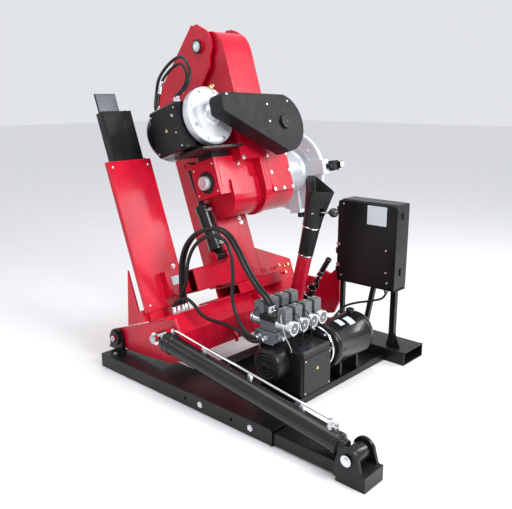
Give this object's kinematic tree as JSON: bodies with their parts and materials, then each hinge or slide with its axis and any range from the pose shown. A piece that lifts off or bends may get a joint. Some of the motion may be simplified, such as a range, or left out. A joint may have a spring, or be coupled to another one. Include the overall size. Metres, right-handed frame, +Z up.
{
  "type": "truck tyre changer",
  "caption": "Free-standing hydraulic truck tyre changer: tilting frame on floor beams, swinging arm with gearbox and four-jaw chuck, sliding mast, pump, valves and control cabinet.",
  "frame": {"origin": "middle of the machine's outline at floor level", "axes": "+Z up, +X from the swing axis along the beams towards the telescopic leg's end, +Y from the long leg's side towards the chuck's side"},
  "size_m": [2.117, 1.52, 1.95],
  "materials": {
    "black_paint": "satin",
    "cast_aluminium": "satin",
    "chrome_steel": "polished",
    "grey_paint": "satin",
    "grey_plastic": "satin",
    "red_paint": "gloss",
    "rubber": "satin",
    "steel": "satin"
  },
  "bodies": {
    "base": {"left_beam": "black_paint", "right_beam": "black_paint", "base_tray": "black_paint", "left_extension": "black_paint", "left_pivot_ear": "black_paint", "right_pivot_ear": "black_paint", "pump_motor": "black_paint", "pump_terminal_box": "black_paint", "pump_flange": "cast_aluminium", "oil_tank": "black_paint", "valve_manifold": "grey_paint", "solenoid_valve_1": "grey_plastic", "solenoid_valve_2": "grey_plastic", "solenoid_valve_3": "grey_plastic", "solenoid_valve_4": "grey_plastic", "pedestal_post": "red_paint", "pedestal_boot": "rubber", "hand_valve": "black_paint", "cabinet_shell": "black_paint", "cabinet_backplate": "grey_plastic", "cabinet_stand": "black_paint", "hose_lift": "rubber", "hose_return": "rubber", "hose_tilt": "rubber", "cabinet_cable": "rubber"},
    "swing_frame": {"left_arm_plate": "red_paint", "right_arm_plate": "red_paint", "torque_box": "red_paint", "cross_beam": "red_paint", "mast_sleeve": "red_paint", "column_box": "red_paint", "column_left_ear": "red_paint", "column_right_ear": "red_paint"},
    "mast": {"mast_tube": "black_paint"},
    "tilt_barrel": {"tilt_barrel": "black_paint", "tilt_pipe": "chrome_steel"},
    "tilt_rod": {"tilt_rod": "chrome_steel"},
    "lift_barrel": {"lift_barrel": "black_paint"},
    "lift_rod": {"lift_rod": "chrome_steel"},
    "chuck_arm": {"arm_shell": "red_paint", "arm_pivot_pin": "steel", "gearbox_housing": "red_paint", "motor_mount": "black_paint", "motor_junction_box": "black_paint", "head_motor": "cast_aluminium", "belt_guard": "grey_paint", "drive_belt": "rubber", "head_cable": "rubber"},
    "spindle": {"spindle": "steel", "chuck_plate": "cast_aluminium"},
    "idler": {"idler_shaft": "steel"},
    "worm": {"worm_shaft": "cast_aluminium"},
    "motor_shaft": {"motor_pulley": "cast_aluminium"},
    "jaw_1": {"chuck_jaw_1": "black_paint"},
    "jaw_2": {"chuck_jaw_2": "black_paint"},
    "jaw_3": {"chuck_jaw_3": "black_paint"},
    "jaw_4": {"chuck_jaw_4": "black_paint"},
    "control_lever": {"control_lever": "steel"},
    "hand_lever": {"hand_lever": "rubber"},
    "cabinet_door": {"cabinet_door": "black_paint"}
  },
  "joints": [
    {"name": "frame_tilt", "type": "hinge", "parent": "base", "child": "swing_frame", "pos_m": [-0.7615, -0.025, 0.153], "axis": [0, -1, 0], "range_deg": [-4, 22], "deforming": ["hose_lift", "hose_return", "hose_tilt"]},
    {"name": "tilt_barrel_pivot", "type": "hinge", "parent": "base", "child": "tilt_barrel", "pos_m": [0.9685, -0.6835, 0.115], "axis": [0, 1, 0], "range_deg": [-1.7, 7.08]},
    {"name": "tilt_rod_pivot", "type": "hinge", "parent": "swing_frame", "child": "tilt_rod", "pos_m": [-0.2882, -0.6835, 0.29535], "axis": [0, 1, 0], "range_deg": [-5.7, 29.08]},
    {"name": "chuck_arm_swing", "type": "hinge", "parent": "swing_frame", "child": "chuck_arm", "pos_m": [-0.64221, -0.025, 1.82429], "axis": [0, -1, 0], "range_deg": [0, 15]},
    {"name": "lift_barrel_pivot", "type": "hinge", "parent": "swing_frame", "child": "lift_barrel", "pos_m": [-0.42754, -0.1035, 0.61147], "axis": [0, 1, 0], "range_deg": [-0.5, 18.73]},
    {"name": "lift_rod_pivot", "type": "hinge", "parent": "chuck_arm", "child": "lift_rod", "pos_m": [-0.67669, -0.1035, 1.12657], "axis": [0, 1, 0], "range_deg": [-0.5, 33.72]},
    {"name": "mast_slide", "type": "slide", "parent": "swing_frame", "child": "mast", "axis": [-0.3551, 0, 0.9348], "range_m": [-0.15, 0.35]},
    {"name": "chuck_spin", "type": "hinge", "parent": "chuck_arm", "child": "spindle", "pos_m": [-0.46687, -0.025, 1.05165], "axis": [0, 1, 0], "continuous": true},
    {"name": "idler_spin", "type": "hinge", "parent": "chuck_arm", "child": "idler", "pos_m": [-0.50166, -0.025, 1.19754], "axis": [0, 1, 0], "continuous": true},
    {"name": "worm_spin", "type": "hinge", "parent": "chuck_arm", "child": "worm", "pos_m": [-0.47503, 0.2385, 1.30976], "axis": [0.9511, 0, 0.309], "continuous": true},
    {"name": "motor_spin", "type": "hinge", "parent": "chuck_arm", "child": "motor_shaft", "pos_m": [-0.50624, -0.175, 1.40582], "axis": [0.9511, 0, 0.309], "continuous": true},
    {"name": "jaw_1_slide", "type": "slide", "parent": "spindle", "child": "jaw_1", "axis": [0.9816, 0, 0.1908], "range_m": [-0.1, 0.03]},
    {"name": "jaw_2_slide", "type": "slide", "parent": "spindle", "child": "jaw_2", "axis": [0.1908, 0, -0.9816], "range_m": [-0.1, 0.03]},
    {"name": "jaw_3_slide", "type": "slide", "parent": "spindle", "child": "jaw_3", "axis": [-0.9816, 0, -0.1908], "range_m": [-0.1, 0.03]},
    {"name": "jaw_4_slide", "type": "slide", "parent": "spindle", "child": "jaw_4", "axis": [-0.1908, 0, 0.9816], "range_m": [-0.1, 0.03]},
    {"name": "control_lever_tilt", "type": "hinge", "parent": "base", "child": "control_lever", "pos_m": [0.0385, 0.245, 0.885], "axis": [0, 1, 0], "range_deg": [-5, 5], "stiffness_Nm_per_rad": 2},
    {"name": "hand_lever_turn", "type": "hinge", "parent": "base", "child": "hand_lever", "pos_m": [-0.0335, 0.335, 0.424], "axis": [0, 1, 0], "range_deg": [-15, 15]},
    {"name": "door_swing", "type": "hinge", "parent": "base", "child": "cabinet_door", "pos_m": [0.0265, 0.478, 0], "axis": [0, 0, -1], "range_deg": [0, 48]}
  ],
  "couplings": [
    {"joint": "tilt_barrel_pivot", "follows": "frame_tilt", "ratio": 0.299},
    {"joint": "tilt_rod_pivot", "follows": "frame_tilt", "ratio": 1.299},
    {"joint": "lift_barrel_pivot", "follows": "chuck_arm_swing", "ratio": 1.215},
    {"joint": "lift_rod_pivot", "follows": "chuck_arm_swing", "ratio": 2.215},
    {"joint": "idler_spin", "follows": "chuck_spin", "ratio": -3.53},
    {"joint": "worm_spin", "follows": "chuck_spin", "ratio": 35.3},
    {"joint": "motor_spin", "follows": "chuck_spin", "ratio": 123.55},
    {"joint": "jaw_2_slide", "follows": "jaw_1_slide", "ratio": 1},
    {"joint": "jaw_3_slide", "follows": "jaw_1_slide", "ratio": 1},
    {"joint": "jaw_4_slide", "follows": "jaw_1_slide", "ratio": 1}
  ]
}
